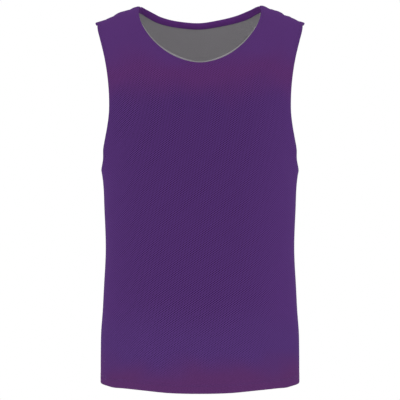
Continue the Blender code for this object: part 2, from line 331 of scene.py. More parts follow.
def panel_net(side):
    """A panel's net on the worn form: its points, row by row from the hem, and the form's normals there.

    The third result is how far from the middle each line lies, with 1 at the sides.
    """
    lines = np.array(EDGE_LINES) / 1000
    side_lines = 1 - lines / PANEL_HALF
    even_lines = np.linspace(-1, 1, EVEN_COLUMNS + 2)[LEFT_OUT:-LEFT_OUT]
    across = np.concatenate([-side_lines, even_lines, side_lines[::-1]])
    across = np.unique(np.round(across, 6))
    away = np.abs(across)
    past_neck = np.clip((away - NECK_SHARE) / (1 - NECK_SHARE), 0, 1)

    hem_height = HEM - HEM_SHARE[side] * hem_line(across)
    hem_turn = across * math.pi / 2
    hem_drop = np.sqrt(ridge(half_width(hem_height) * np.sin(hem_turn)) - hem_height)

    neck_x, neck_z = neckline(side, np.clip(away / NECK_SHARE, 0, 1))
    seam_x = SEAM_START + (TIP_HALF_WIDTH - SEAM_START) * past_neck
    top_x = np.where(away <= NECK_SHARE, neck_x, seam_x)
    top_z = np.where(away <= NECK_SHARE, neck_z, ridge(seam_x))
    top_turn = np.sign(across) * np.arcsin(top_x / half_width(top_z))
    top_drop = np.sqrt(np.maximum(ridge(top_x) - top_z, 0))

    edge_z = np.linspace(ridge(TIP_HALF_WIDTH), HEM, SIDE_POINTS)
    side_x = half_width(edge_z)
    edge_x = np.where(edge_z < UNDERARM, side_x, np.minimum(armhole[side](edge_z), side_x))
    edge_drop = np.sqrt(np.maximum(ridge(edge_x) - edge_z, 0))
    edge_turn = np.arcsin(np.clip(edge_x / side_x, 0, 1))

    up = np.linspace(0, 1, ROUGH_ROWS)[:, None]
    side_turn = np.interp((1 - up) * edge_drop[-1], edge_drop, edge_turn)
    spare = side_turn - ((1 - up) * edge_turn[-1] + up * edge_turn[0])
    turn = (1 - up) * hem_turn + up * top_turn + np.sign(across) * past_neck * spare
    drop = (1 - up) * hem_drop + up * top_drop
    z = drop_to(drop, turn)
    columns = point_on(side, half_width(z) * np.sin(turn), z)
    for end in (0, -1):
        columns[:, end, 1] = np.where(columns[:, end, 2] < UNDERARM, 0, columns[:, end, 1])

    length = travelled(columns)
    low, high = np.array(HEM_LINES) / 1000, lines[::-1]
    points = []
    for j, whole in enumerate(length[-1]):
        even = np.linspace(low[-1], whole - high[0], EVEN_ROWS + 2)[1:-1]
        wanted = np.concatenate([low, even, whole - high])
        points.append([np.interp(wanted, length[:, j], columns[:, j, axis]) for axis in range(3)])
    points = np.moveaxis(np.array(points), (0, 1, 2), (1, 2, 0))
    on_seam = np.zeros(points.shape[:2], bool)
    on_seam[-1] = away >= NECK_SHARE
    on_seam[:, [0, -1]] = points[:, [0, -1], 2] <= UNDERARM
    points = np.where(on_seam[..., None], points, settled(points))
    points[on_seam, 1] = 0
    normals = normal_of(points)
    normals[on_seam, 1] = 0
    normals /= np.linalg.norm(normals, axis=-1, keepdims=True)
    return points, normals, away


def distance_to(points, *lines):
    """How far each point is from the nearest of these lines."""
    fine = np.linspace(0, 1, LINE_POINTS)
    places = []
    for line in lines:
        along = np.linspace(0, 1, len(line))
        places.append(np.stack([np.interp(fine, along, line[:, axis]) for axis in range(3)], axis=-1))
    places = np.concatenate(places)
    tree = KDTree(len(places))
    for i, place in enumerate(places):
        tree.insert(place, i)
    tree.balance()
    return np.array([tree.find(place)[2] for place in points.reshape(-1, 3)]).reshape(points.shape[:2])


# Long soft folds, as the worn cloth hangs: where they lie across the panel, from -1 at one side to 1 at the
# other, how much they lean, their lowest and highest point, their width and their depth.
FRONT_FOLDS = [
    (-0.62, 0.08, -0.76, -0.36, 0.16, -0.0032),
    (-0.30, -0.10, -0.76, -0.42, 0.15, 0.0024),
    (0.04, 0.05, -0.76, -0.30, 0.17, -0.0024),
    (0.37, 0.06, -0.76, -0.46, 0.14, 0.0026),
    (0.68, -0.07, -0.76, -0.38, 0.15, -0.0030),
    (-0.80, 0.42, -0.36, -0.16, 0.15, -0.0024),
    (0.82, -0.40, -0.35, -0.15, 0.14, -0.0022),
]
BACK_FOLDS = [
    (-0.70, 0.16, -0.76, -0.30, 0.15, -0.0034),
    (-0.40, 0.06, -0.76, -0.40, 0.15, 0.0030),
    (-0.08, -0.04, -0.76, -0.22, 0.16, -0.0036),
    (0.22, -0.05, -0.76, -0.38, 0.14, 0.0028),
    (0.50, -0.06, -0.76, -0.28, 0.15, -0.0034),
    (0.80, -0.12, -0.76, -0.44, 0.12, 0.0020),
    (-0.72, 0.36, -0.34, -0.12, 0.14, -0.0026),
    (0.74, -0.38, -0.33, -0.13, 0.15, -0.0028),
]


def folded(folds, across, z):
    """How far the folds move the cloth out. They fade out towards the panel's side edges."""
    moved = np.zeros_like(z)
    for middle, lean, bottom, top, width, high in folds:
        height = (z - bottom) / (top - bottom)
        beside = bell(across - middle - lean * np.clip(height, 0, 1), width)
        moved += high * beside * step_up(0, 0.25, height) * (1 - step_up(0.35, 1, height))
    return moved * (1 - step_up(0.80, 1, np.abs(across)))


# The shoulder seams pucker: where along the seam from the neck, how high and how wide each pucker is.
LEFT_PUCKERS = [
    (0.000, -0.0012, 0.0030),
    (0.020, -0.0024, 0.0048),
    (0.029, -0.0008, 0.0040),
    (0.041, 0.0003, 0.0034),
    (0.053, -0.0018, 0.0050),
    (0.065, -0.0012, 0.0060),
]
RIGHT_PUCKERS = [
    (0.0000, -0.0010, 0.0030),
    (0.0180, -0.0028, 0.0048),
    (0.0270, -0.0010, 0.0040),
    (0.0355, 0.0003, 0.0030),
    (0.0480, -0.0022, 0.0036),
    (0.0560, 0.0005, 0.0032),
    (0.0660, 0.0004, 0.0036),
    (0.0730, -0.0006, 0.0036),
]
PUCKER_REACH = 0.011  # to both sides of the seam


def puckered(x, from_seam):
    """How far the puckers move the cloth out."""
    moved = np.zeros_like(x)
    for place, puckers in ((-x, LEFT_PUCKERS), (x, RIGHT_PUCKERS)):
        for along, high, width in puckers:
            moved += high * bell(place - SEAM_START - along, width)
    return moved * bell(from_seam, PUCKER_REACH)


# The bib sits a little askew: how far the back neck is up or down from its even course, and how far the front
# neck is moved sideways, both across the neck.
BACK_NECK_LIFT = [
    (-0.1155, 0.0006),
    (-0.1130, 0.0014),
    (-0.107, 0.0004),
    (-0.090, -0.0010),
    (-0.060, -0.0012),
    (-0.030, -0.0004),
    (0.000, 0.0010),
    (0.030, 0.0023),
    (0.060, 0.0031),
    (0.080, 0.0028),
    (0.100, 0.0019),
    (0.110, 0.0027),
    (0.1155, 0.0024),
]
FRONT_NECK_ASIDE = [
    (-0.1190, 0.0006),
    (-0.1165, 0.0006),
    (-0.1100, 0.0006),
    (-0.1000, 0.0010),
    (-0.0850, 0.0012),
    (-0.0600, 0.0007),
    (0.0000, 0.0000),
    (0.0600, -0.0014),
    (0.0850, -0.0026),
    (0.1000, -0.0026),
    (0.1100, -0.0018),
    (0.1165, -0.0011),
    (0.1190, -0.0009),
]
ASKEW_REACH = 0.035  # from the neckline
neck_lift, neck_aside = smooth(*zip(*BACK_NECK_LIFT)), smooth(*zip(*FRONT_NECK_ASIDE))


def sat_askew(points, from_neck):
    """The points moved as the neck sits."""
    x, y, _ = np.moveaxis(points, -1, 0)
    near = bell(from_neck, ASKEW_REACH)
    lift = neck_lift(x) * near * step_up(-0.035, 0, y)
    aside = neck_aside(x) * near * (1 - step_up(-0.022, -0.004, y))
    return points + np.stack([aside, 0 * x, lift], axis=-1)


CLOTH = 0.0007  # one thickness of knit
DOUBLED = 0.00112  # where it is turned
RAISED = 0.00030  # how far the face stands out there
ROUNDED = 0.0009  # how far in from its edge a turned face rounds away
EDGE_BAND = 0.0070  # the turned edge at the neck and the armholes
HEM_BAND = 0.0180
EDGE_STITCH = 0.0052
HEM_STITCHES = (0.0130, 0.0158)
GROOVE = 0.0006  # half the width of the groove that a line of stitches lies in

# The grooves and ridges of a face: beside which edge, how far from it, how wide and how high.
RELIEF = [
    ("turned", EDGE_STITCH, GROOVE, -0.00028),
    ("hem", HEM_STITCHES[0], GROOVE, -0.00026),
    ("hem", HEM_STITCHES[1], GROOVE, -0.00026),
    ("seam", 0, 0.0011, -0.00095),
    ("seam", 0.0045, 0.0022, 0.00025),
]


def relief(edges):
    """How far the visible face stands out, how thick the cloth is, and where it is doubled."""
    turned = 1 - step_up(EDGE_BAND - 0.0008, EDGE_BAND + 0.0012, edges["turned"])
    turned_up = 1 - step_up(HEM_BAND - 0.0008, HEM_BAND + 0.0010, edges["hem"])
    doubled = np.maximum(turned, turned_up)
    out = RAISED * doubled
    for edge, away, width, high in RELIEF:
        out += high * bell(edges[edge] - away, width)
    for edge in ("turned", "hem"):
        out -= RAISED * np.clip(1 - edges[edge] / ROUNDED, 0, 1) ** 2
    return out, CLOTH + (DOUBLED - CLOTH) * doubled, doubled


def laid_flat(side, points):
    """Where each point lies on the flat panel: its distance round from the middle and up from the hem."""
    x, _, z = np.moveaxis(points, -1, 0)
    share = np.linspace(0, 1, 41)[:, None, None]
    wide = np.arcsin(np.clip(np.abs(x) / half_width(z), 0, 1))
    round_form = travelled(point_on(side, half_width(z) * np.sin(share * wide), z + 0 * share))[-1]
    low = np.sqrt(ridge(x) - HEM)
    drop = low + share * (np.sqrt(np.maximum(ridge(x) - z, 0)) - low)
    up_form = travelled(point_on(side, x + 0 * share, ridge(x) - drop**2))[-1]
    return np.stack([np.sign(x) * round_form, up_form], axis=-1)


def shell(name, face, back, flat, doubled, bulge):
    """A closed sheet of cloth between two grids of points.

    Its rim is rounded, and stands out by bulge times half its thickness.
    """
    rows, columns = face.shape[:2]
    count = rows * columns
    index = np.arange(count).reshape(rows, columns)
    quads = np.stack([index[:-1, :-1], index[:-1, 1:], index[1:, 1:], index[1:, :-1]], axis=-1).reshape(-1, 4)
    rim = [(0, j) for j in range(columns)] + [(i, columns - 1) for i in range(1, rows)]
    rim += [(rows - 1, j) for j in range(columns - 2, -1, -1)] + [(i, 0) for i in range(rows - 2, 0, -1)]
    i, j = np.array(rim).T
    inner_i, inner_j = np.clip(i, 1, rows - 2), np.clip(j, 1, columns - 2)
    top, under = face[i, j], back[i, j]
    out = top - face[inner_i, inner_j]
    through = top - under
    half = np.linalg.norm(through, axis=1, keepdims=True) / 2
    unit = through / (2 * half)
    out -= unit * (out * unit).sum(axis=1, keepdims=True)
    out /= np.maximum(np.linalg.norm(out, axis=1, keepdims=True), 1e-9)
    rings = [index[i, j]]
    places = [face.reshape(-1, 3), back.reshape(-1, 3)]
    start = 2 * count
    for angle in (45, 90, 135):
        turn = math.radians(angle)
        outwards = out * half * math.sin(turn) * bulge[i, j][:, None]
        places.append((top + under) / 2 + through / 2 * math.cos(turn) + outwards)
        rings.append(np.arange(start, start + len(rim)))
        start += len(rim)
    rings.append(index[i, j] + count)
    band = [np.stack([b, np.roll(b, -1), np.roll(a, -1), a], axis=-1) for a, b in zip(rings, rings[1:])]
    faces = np.concatenate([quads, quads[:, ::-1] + count, *band])
    i_middle, j_middle = rows // 2, columns // 2
    middle = face[i_middle, j_middle]
    towards = np.cross(face[i_middle, j_middle + 1] - middle, face[i_middle + 1, j_middle] - middle)
    if towards @ (middle - back[i_middle, j_middle]) < 0:
        faces = faces[:, ::-1]
    mesh = bpy.data.meshes.new(name)
    mesh.from_pydata(np.concatenate(places).tolist(), [], faces.tolist())
    flat_of = np.concatenate([flat.reshape(-1, 2)] * 2 + [flat[i, j]] * 3)
    doubled_of = np.concatenate([doubled.ravel()] * 2 + [doubled[i, j]] * 3)
    corners = np.zeros(len(mesh.loops), int)
    mesh.loops.foreach_get("vertex_index", corners)
    mesh.uv_layers.new(name="flat").data.foreach_set("uv", flat_of[corners].ravel())
    mesh.attributes.new("doubled", "FLOAT", "POINT").data.foreach_set("value", doubled_of)
    mesh.shade_smooth()
    mesh.validate()
    piece = bpy.data.objects.new(name, mesh)
    bpy.context.scene.collection.objects.link(piece)
    return piece


REVERSE_INSET = 0.0023  # from the purple face to the grey face
DRAWN_IN = 0.0010  # how far the grey edges stay behind the purple ones
DRAWN_IN_MORE = 0.0018  # how much further they do at the ends of the neck
NECK_ENDS = 0.035  # how far from the seams those reach
ROLLED_OUT = 0.0015  # how far the grey edge shows above the purple one at the front neck
ROLLED_FORWARD = 0.0009
ROLL_GROWS = (0.032, 0.095)  # how far from the shoulder seams the roll starts, and is whole
SLANT_MIDDLE = 0.045  # how far from the middle the roll shows most
SLANT_WIDTH = 0.028
BELOW_TAPE = 0.0009  # how far the edges at the back neck stay below the neckline


def set_edges(side, layer, points, normals, edges, neck):
    """The finished edges as they set when they are turned.

    The grey edges stay a little behind the purple ones, but at the front neck they roll over them, most of
    all where the neckline slants. At the back neck both stay below the tape.
    """
    edge, seam = edges["turned"], edges["seam"]
    up, across = np.gradient(edge, axis=0)[..., None], np.gradient(edge, axis=1)[..., None]
    along_up, along_across = np.gradient(points, axis=0), np.gradient(points, axis=1)
    high = (along_up * along_up).sum(axis=-1, keepdims=True)
    wide = (along_across * along_across).sum(axis=-1, keepdims=True)
    askew = (along_up * along_across).sum(axis=-1, keepdims=True)
    away = (up * wide - across * askew) * along_up + (across * high - up * askew) * along_across
    away /= np.maximum(np.linalg.norm(away, axis=-1, keepdims=True), 1e-15)
    at_neck = 1 - step_up(0.010, 0.014, neck)
    drawn_in = DRAWN_IN + DRAWN_IN_MORE * at_neck * bell(seam, NECK_ENDS)
    amount, forward = 0 * neck, 0 * neck
    if layer == "reverse":
        amount = drawn_in
    if side == "back":
        amount = amount + BELOW_TAPE * at_neck * step_up(0, 0.003, seam)
    elif layer == "reverse":
        rolled = at_neck * step_up(*ROLL_GROWS, seam)
        slanting = bell(np.abs(points[..., 0]) - SLANT_MIDDLE, SLANT_WIDTH)
        amount = drawn_in - (drawn_in + ROLLED_OUT * (1 + slanting)) * rolled
        forward = ROLLED_FORWARD * rolled * (1 - step_up(0.0002, 0.0013, neck))
    amount = amount * (1 - step_up(0.0005, 0.006, edge))
    return points + away * amount[..., None] + normals * forward[..., None]


def line_at(level, distance, places):
    """Where the distance from an edge reaches a level, on each of the lines that leave the edge."""
    after = np.maximum(np.argmax(distance >= level, axis=1), 1)
    lines = np.arange(len(after))
    before, beyond = distance[lines, after - 1], distance[lines, after]
    share = ((level - before) / (beyond - before))[:, None]
    return places[lines, after - 1] * (1 - share) + places[lines, after] * share


def seams_of(face, away, neck, holes):
    """The lines of stitches: two round the hem, one below the neckline and one beside each armhole.

    The last three stop a little short of the seams.
    """
    lines = [face[HEM_LINES.index(round(height * 1000, 1))] for height in HEM_STITCHES]
    middle = away < NECK_SHARE - 0.02
    lines.append(line_at(EDGE_STITCH, neck[::-1, middle].T, face[::-1, middle].swapaxes(0, 1)))
    beside = (face[:, 0, 2] > UNDERARM + 0.004) & (face[:, 0, 2] < face[-1, 0, 2] - 0.006)
    lines.append(line_at(EDGE_STITCH, holes[beside], face[beside]))
    lines.append(line_at(EDGE_STITCH, holes[beside, ::-1], face[beside, ::-1]))
    return lines


SIDE_TURN = math.radians(90)  # from the middle of a panel round to its side seams
TIP_TURN = math.radians(68)  # and to the tips of its shoulders
RIM_BULGE = 0.9
SEAM_BULGE = 0.1
ON_SEAM = 0.0004  # how near a seam a rim counts as sewn
THREAD_ABOVE = 0.00010  # from the cloth to the middle of the thread
nets = {}


def panel(side, layer, folds):
    """One layer of one side of the bib, and its lines of stitches. Both layers of a side share its net."""
    if side not in nets:
        points, normals, away = panel_net(side)
        low = points[:, 0, 2] <= UNDERARM
        neck = points[-1, away <= NECK_SHARE + 1e-6]
        shoulders = np.split(points[-1, away >= NECK_SHARE - 1e-6], 2)
        seams = [points[low, 0], points[low, -1], *shoulders]
        holes = [points[~low, 0], points[~low, -1]]
        from_neck, from_holes = distance_to(points, neck), distance_to(points, *holes)
        edges = {
            "turned": np.minimum(from_neck, from_holes),
            "hem": distance_to(points, points[0]),
            "seam": distance_to(points, *seams),
        }
        turn = np.arcsin(np.clip(points[..., 0] / half_width(points[..., 2]), -1, 1))
        above_underarm = step_up(UNDERARM + 0.020, 0, points[..., 2])
        widest = SIDE_TURN + (TIP_TURN - SIDE_TURN) * above_underarm
        moved = folded(folds, np.clip(turn / widest, -1, 1), points[..., 2])
        moved += puckered(points[..., 0], distance_to(points, *shoulders))
        flat = laid_flat(side, points)
        points = sat_askew(points + normals * moved[..., None], from_neck)
        nets[side] = points, normals, edges, flat, away, from_neck, from_holes
    points, normals, edges, flat, away, from_neck, from_holes = nets[side]
    out, thick, doubled = relief(edges)
    sign, inset = (1, 0) if layer == "outer" else (-1, REVERSE_INSET)
    points = set_edges(side, layer, points, normals, edges, from_neck)
    face = points + normals * (sign * out - inset)[..., None]
    back = points + normals * (-sign * thick - inset)[..., None]
    bulge = np.where(edges["seam"] < ON_SEAM, SEAM_BULGE, RIM_BULGE)
    cloth = shell(f"{side}_{layer}_cloth", face, back, flat, doubled, bulge)
    return cloth, seams_of(face + normals * (sign * THREAD_ABOVE), away, from_neck, from_holes)


def feed(socket, value):
    """Link a socket to another one, or give it a plain value."""
    if isinstance(value, bpy.types.NodeSocket):
        socket.id_data.links.new(value, socket)
    else:
        socket.default_value = value


def math_of(nodes, operation, *values, clamp=False):
    """A Math node over sockets and numbers."""
    node = nodes.new("ShaderNodeMath")
    node.operation, node.use_clamp = operation, clamp
    for socket, value in zip(node.inputs, values):
        feed(socket, value)
    return node.outputs[0]


def vector_of(nodes, operation, *values):
    """A Vector Math node over sockets and vectors."""
    node = nodes.new("ShaderNodeVectorMath")
    node.operation = operation
    for socket, value in zip(node.inputs, values):
        feed(socket, value)
    return node.outputs[0]


def scaled(nodes, colour, share):
    """A colour times a number."""
    node = nodes.new("ShaderNodeVectorMath")
    node.operation = "SCALE"
    feed(node.inputs[0], colour)
    feed(node.inputs["Scale"], share)
    return node.outputs[0]


def eased(nodes, value, low, high, start=0, end=1):
    """From start to end in a soft step, as the value goes from low to high."""
    node = nodes.new("ShaderNodeMapRange")
    node.interpolation_type = "SMOOTHSTEP"
    for label, setting in (("From Min", low), ("From Max", high), ("To Min", start), ("To Max", end)):
        node.inputs[label].default_value = setting
    feed(node.inputs["Value"], value)
    return node.outputs["Result"]


def noise(nodes, vector, scale, detail):
    """Soft noise around 0.5."""
    node = nodes.new("ShaderNodeTexNoise")
    node.inputs["Scale"].default_value = scale
    node.inputs["Detail"].default_value = detail
    feed(node.inputs["Vector"], vector)
    return node.outputs["Fac"]


def parts_of(nodes, vector):
    """The X, Y and Z of a vector."""
    node = nodes.new("ShaderNodeSeparateXYZ")
    feed(node.inputs[0], vector)
    return node.outputs


def bumped(nodes, height, strength, distance):
    """The normal of a surface with this relief."""
    node = nodes.new("ShaderNodeBump")
    node.inputs["Strength"].default_value = strength
    node.inputs["Distance"].default_value = distance
    feed(node.inputs["Height"], height)
    return node.outputs["Normal"]


def flat_map(nodes):
    """Where a point lies on the flat panel, from the piece's UV map."""
    node = nodes.new("ShaderNodeUVMap")
    node.uv_map = "flat"
    return node.outputs[0]


def group_of(name, kind, inputs, outputs):
    """A node group, the sockets that its inputs come from, and those that its outputs go to."""
    group = bpy.data.node_groups.new(name, kind)
    for label, socket_type, value in inputs:
        socket = group.interface.new_socket(label, in_out="INPUT", socket_type=socket_type)
        if value is not None:
            socket.default_value = value
    for label, socket_type in outputs:
        group.interface.new_socket(label, in_out="OUTPUT", socket_type=socket_type)
    return group, group.nodes.new("NodeGroupInput").outputs, group.nodes.new("NodeGroupOutput").inputs


def eyelet_group():
    """Eyelet mesh: rows of small round holes, each row set half a step aside, in a fine knit of upright ribs.

    The knit is a little askew, by Lean and Slant, and hangs closer together towards the shoulders.
    """
    group, given, made = group_of(
        "eyelet_knit",
        "ShaderNodeTree",
        [
            ("Flat", "NodeSocketVector", None),
            ("Across", "NodeSocketFloat", 0.0057),
            ("Up", "NodeSocketFloat", 0.00433),
            ("Lean", "NodeSocketFloat", 0.092),
            ("Slant", "NodeSocketFloat", 0.061),
            ("Closer", "NodeSocketFloat", 0.14),
            ("Hole", "NodeSocketFloat", 0.0010),
            ("Rib", "NodeSocketFloat", 0.0007),
        ],
        [("Hole", "NodeSocketFloat"), ("Height", "NodeSocketFloat")],
    )
    nodes = group.nodes
    x, y, _ = parts_of(nodes, given["Flat"])
    wale = math_of(nodes, "MULTIPLY_ADD", y, given["Lean"], x)
    course = math_of(nodes, "MULTIPLY", y, math_of(nodes, "MULTIPLY_ADD", y, given["Closer"], 1))
    course = math_of(nodes, "MULTIPLY_ADD", x, given["Slant"], course)
    nearest = None
    for aside in (0, 0.5):
        reach = []
        for along, pitch in ((wale, "Across"), (course, "Up")):
            steps = math_of(nodes, "ADD", math_of(nodes, "DIVIDE", along, given[pitch]), aside)
            offset = math_of(nodes, "SUBTRACT", math_of(nodes, "FRACT", steps), 0.5)
            reach.append(math_of(nodes, "POWER", math_of(nodes, "MULTIPLY", offset, given[pitch]), 2))
        distance = math_of(nodes, "SQRT", math_of(nodes, "ADD", *reach))
        nearest = distance if nearest is None else math_of(nodes, "MINIMUM", nearest, distance)
    hole = eased(nodes, math_of(nodes, "DIVIDE", nearest, given["Hole"]), 1.25, 0.70)
    feed(made["Hole"], hole)
    rib = math_of(nodes, "MULTIPLY", math_of(nodes, "DIVIDE", x, given["Rib"]), math.pi)
    rib = math_of(nodes, "ABSOLUTE", math_of(nodes, "SINE", rib))
    loop = math_of(nodes, "MULTIPLY", math_of(nodes, "DIVIDE", y, given["Rib"]), 2 * math.pi)
    loop = math_of(nodes, "MULTIPLY", math_of(nodes, "SINE", loop), 0.08)
    yarn = math_of(nodes, "ADD", math_of(nodes, "MULTIPLY", rib, 0.35), loop)
    feed(made["Height"], math_of(nodes, "SUBTRACT", yarn, hole))
    return group


# Painted light, by height. Up the chest the colour is painted warmer, as warm light from above, and then,
# round the neck, bluer. Down the waist it is painted brighter and, at the hem, redder, as warm light from
# below: from which height above the hem to which. The heights stray a little across the cloth.
PAINTED_LIGHT_CHANGES = {
    "Warmer": (0.522, 0.593),
    "Bluer": (0.592, 0.646),
    "Brighter": (0.170, 0.085),
    "Redder": (0.072, 0.008),
}
PAINTED_LIGHT_STRAYS = 0.07


def make_tone_and_painted_light():
    """The tone of dyed cloth, broad, faint patches and a finer unevenness from yarn to yarn, and painted
    light.

    Each change of painted light by height adds its share of red, green and blue. Ends is how far they have
    come in all.
    """
    group, given, made = group_of(
        "tone_and_painted_light_cloth",
        "ShaderNodeTree",
        [
            ("Flat", "NodeSocketVector", None),
            ("Colour", "NodeSocketColor", None),
            ("Patches", "NodeSocketFloat", 0.05),
            ("Yarns", "NodeSocketFloat", 0.06),
            *[(name, "NodeSocketVector", None) for name in PAINTED_LIGHT_CHANGES],
        ],
        [("Colour", "NodeSocketColor"), ("Unevenness", "NodeSocketFloat"), ("Ends", "NodeSocketFloat")],
    )
    nodes = group.nodes
    _, y, _ = parts_of(nodes, given["Flat"])
    drift = noise(nodes, given["Flat"], 11, 1)
    height = math_of(nodes, "ADD", y, math_of(nodes, "MULTIPLY_ADD", drift, PAINTED_LIGHT_STRAYS, -PAINTED_LIGHT_STRAYS / 2))
    # Painted light: each change tints the colour as the height passes its stretch.
    tint, ends = (1, 1, 1), 0
    for name, (low, high) in PAINTED_LIGHT_CHANGES.items():
        fade = eased(nodes, height, low, high)
        ends = math_of(nodes, "ADD", fade, ends)
        tint = vector_of(nodes, "MULTIPLY_ADD", fade, given[name], tint)
    feed(made["Ends"], ends)
    patch = math_of(nodes, "SUBTRACT", noise(nodes, given["Flat"], 22, 2), 0.5)
    yarn = math_of(nodes, "SUBTRACT", noise(nodes, given["Flat"], 900, 1), 0.5)
    patch = math_of(nodes, "MULTIPLY", patch, given["Patches"])
    yarn = math_of(nodes, "MULTIPLY", yarn, given["Yarns"])
    uneven = math_of(nodes, "ADD", patch, yarn)
    tinted = vector_of(nodes, "MULTIPLY", given["Colour"], tint)
    feed(made["Colour"], scaled(nodes, tinted, math_of(nodes, "ADD", uneven, 1)))
    feed(made["Unevenness"], uneven)
    return group


eyelets = eyelet_group()
tone_and_painted_light = make_tone_and_painted_light()


def placed(nodes, group, **values):
    """A group in a material, with its own values."""
    node = nodes.new("ShaderNodeGroup")
    node.node_tree = group
    for label, value in values.items():
        feed(node.inputs[label], value)
    return node.outputs


# The holes are painted darker, as painted shade: the shadow between the two layers seen through them. These
# set where that painted shade shows and fades, how much lighter the cloth is painted where it fades, and how
# much painted light lightens it towards its sides.
HOLE_SHARE = 0.265  # of the mesh's area
CLEAREST = -0.025  # where across the holes show most
CLEAR_WIDTH = (0.08, 0.24)  # how far from there they start to fade, and fade no more
CLEAR_LEFT = 0.45  # how much of them shows there
DOUBLED_FADE = 0.7  # how much they fade where the cloth is doubled
ENDS_FADE = 0.36
ENDS_POWER = 1.6
MOST_FADE = 0.9
FADED_LIGHTER = 0.08  # how much lighter the cloth looks where the holes fade
PAINTED_LIGHT_AT_SIDES = 0.245
ENDS_NO_LIGHTER = 0.85


def mesh_knit(name, colour, hole_shade, sheen_tint, **painted_light):
    """Eyelet mesh in one colour. The amount after the colour is how much darker its holes are painted than
    the
    yarn around them: painted shade, the shadow between the two layers seen through the holes.

    The painted shade in the holes shows least where the cloth is doubled, at the ends of the panel and
    towards its sides, and in some patches less than in others. Where it fades the cloth is painted lighter,
    and towards its sides, away from the ends, painted light makes it lighter still.
    """
    material, nodes, shader = new_material(name)
    flat = flat_map(nodes)
    doubled = nodes.new("ShaderNodeAttribute")
    doubled.attribute_name = "doubled"
    knit = placed(nodes, eyelets, Flat=flat)
    # The painted light by height comes in with the cloth's tone.
    tone = placed(nodes, tone_and_painted_light, Flat=flat, Colour=colour, **painted_light)
    at_ends = math_of(nodes, "MULTIPLY", math_of(nodes, "POWER", tone["Ends"], ENDS_POWER), ENDS_FADE)
    at_ends = math_of(nodes, "MINIMUM", at_ends, MOST_FADE)
    faded = math_of(nodes, "MULTIPLY", doubled.outputs["Fac"], DOUBLED_FADE)
    faded = math_of(nodes, "MAXIMUM", faded, at_ends)
    x, _, _ = parts_of(nodes, flat)
    aside = math_of(nodes, "ABSOLUTE", math_of(nodes, "SUBTRACT", x, CLEAREST))
    clear = eased(nodes, aside, *CLEAR_WIDTH, 1, CLEAR_LEFT)
    patches = math_of(nodes, "MULTIPLY_ADD", noise(nodes, flat, 26, 2), 1.2, 0.4)
    shown = math_of(nodes, "SUBTRACT", 1, faded)
    shown = math_of(nodes, "MULTIPLY", shown, math_of(nodes, "MULTIPLY", clear, patches))
    # Painted shade in the holes, then painted lighter where it fades, and painted light on the sides.
    pattern = math_of(nodes, "SUBTRACT", HOLE_SHARE, knit["Hole"])
    shade = math_of(nodes, "MULTIPLY_ADD", pattern, math_of(nodes, "MULTIPLY", shown, hole_shade), 1)
    between_ends = math_of(nodes, "MULTIPLY_ADD", tone["Ends"], -ENDS_NO_LIGHTER, 1, clamp=True)
    sides = math_of(nodes, "MULTIPLY", math_of(nodes, "SUBTRACT", 1, clear), between_ends)
    for place, lighter in ((faded, FADED_LIGHTER), (sides, PAINTED_LIGHT_AT_SIDES)):
        shade = math_of(nodes, "MULTIPLY", shade, math_of(nodes, "MULTIPLY_ADD", place, lighter, 1))
    feed(shader.inputs["Base Color"], scaled(nodes, tone["Colour"], shade))
    rough = math_of(nodes, "MULTIPLY", tone["Unevenness"], 1.5)
    rough = math_of(nodes, "ADD", rough, 0.78, clamp=True)
    feed(shader.inputs["Roughness"], rough)
    feed(shader.inputs["Normal"], bumped(nodes, knit["Height"], 0.35, 0.0004))
    shader.inputs["Specular IOR Level"].default_value = 0.01
    shader.inputs["Sheen Weight"].default_value = 0.04
    shader.inputs["Sheen Roughness"].default_value = 0.45
    shader.inputs["Sheen Tint"].default_value = sheen_tint
    return material


def thread(name, colour):
    """Polyester thread in the colour of the cloth, with the fine twist of its yarns."""
    material, nodes, shader = new_material(name)
    place = nodes.new("ShaderNodeTexCoord")
    tone = placed(nodes, tone_and_painted_light, Flat=place.outputs["Object"], Colour=colour, Patches=0.02, Yarns=0.20)
    feed(shader.inputs["Base Color"], tone["Colour"])
    feed(shader.inputs["Roughness"], math_of(nodes, "ADD", tone["Unevenness"], 0.5, clamp=True))
    shader.inputs["Specular IOR Level"].default_value = 0.2
    return material


